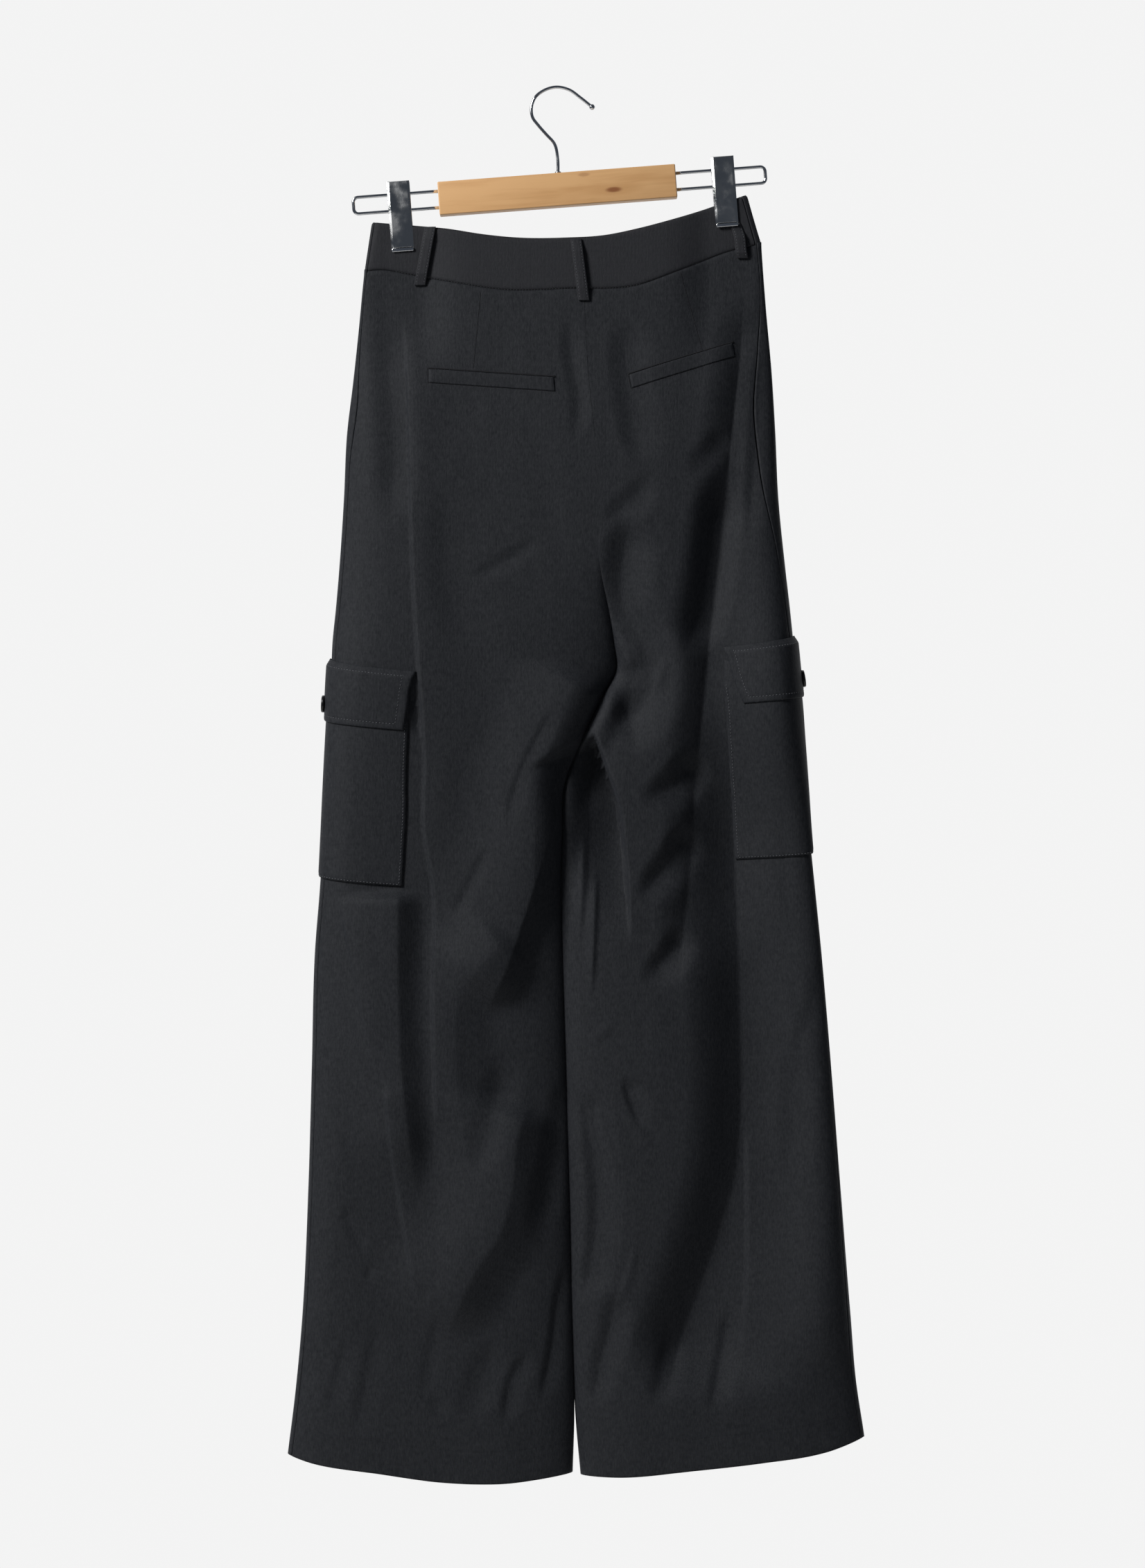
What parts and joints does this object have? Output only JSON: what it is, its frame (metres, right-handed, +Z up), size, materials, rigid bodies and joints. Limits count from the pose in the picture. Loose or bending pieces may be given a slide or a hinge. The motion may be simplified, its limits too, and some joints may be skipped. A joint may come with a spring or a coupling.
{
  "type": "cargo trousers on a clip hanger",
  "caption": "Wide-leg cargo trousers with belt loops, back welt pockets and flapped side pockets, hung flat by the waistband from a wood and wire clip hanger.",
  "frame": {"origin": "inner crest of the hanger's hook, where a wardrobe rail carries it", "axes": "+Z up, -Y out of the back of the trousers, +X towards the wearer's right"},
  "size_m": [0.504, 0.0633, 1.2188],
  "materials": {
    "cloth": "matt plain-weave suiting cloth",
    "button": "semi-gloss moulded",
    "chrome": "polished plate",
    "wood": "clear satin lacquer"
  },
  "bodies": {
    "root": {"back_left": "cloth", "back_right": "cloth", "belt_loop_back_centre": "cloth", "belt_loop_back_left": "cloth", "belt_loop_back_right": "cloth", "belt_loop_front_left": "cloth", "belt_loop_front_right": "cloth", "cargo_button_left": "button", "cargo_button_right": "button", "cargo_flap_left": "cloth", "cargo_flap_right": "cloth", "cargo_pocket_left": "cloth", "cargo_pocket_right": "cloth", "clip_left_bridge": "chrome", "clip_left_inner": "chrome", "clip_left_outer": "chrome", "clip_left_pivot": "chrome", "clip_right_bridge": "chrome", "clip_right_inner": "chrome", "clip_right_outer": "chrome", "clip_right_pivot": "chrome", "fly": "cloth", "front_left": "cloth", "front_right": "cloth", "hook": "chrome", "rail_left": "chrome", "rail_right": "chrome", "waist_button": "button", "waistband_back": "cloth", "waistband_front_left": "cloth", "waistband_front_right": "cloth", "welt_left": "cloth", "welt_right": "cloth", "wood_block": "wood"}
  },
  "joints": []
}
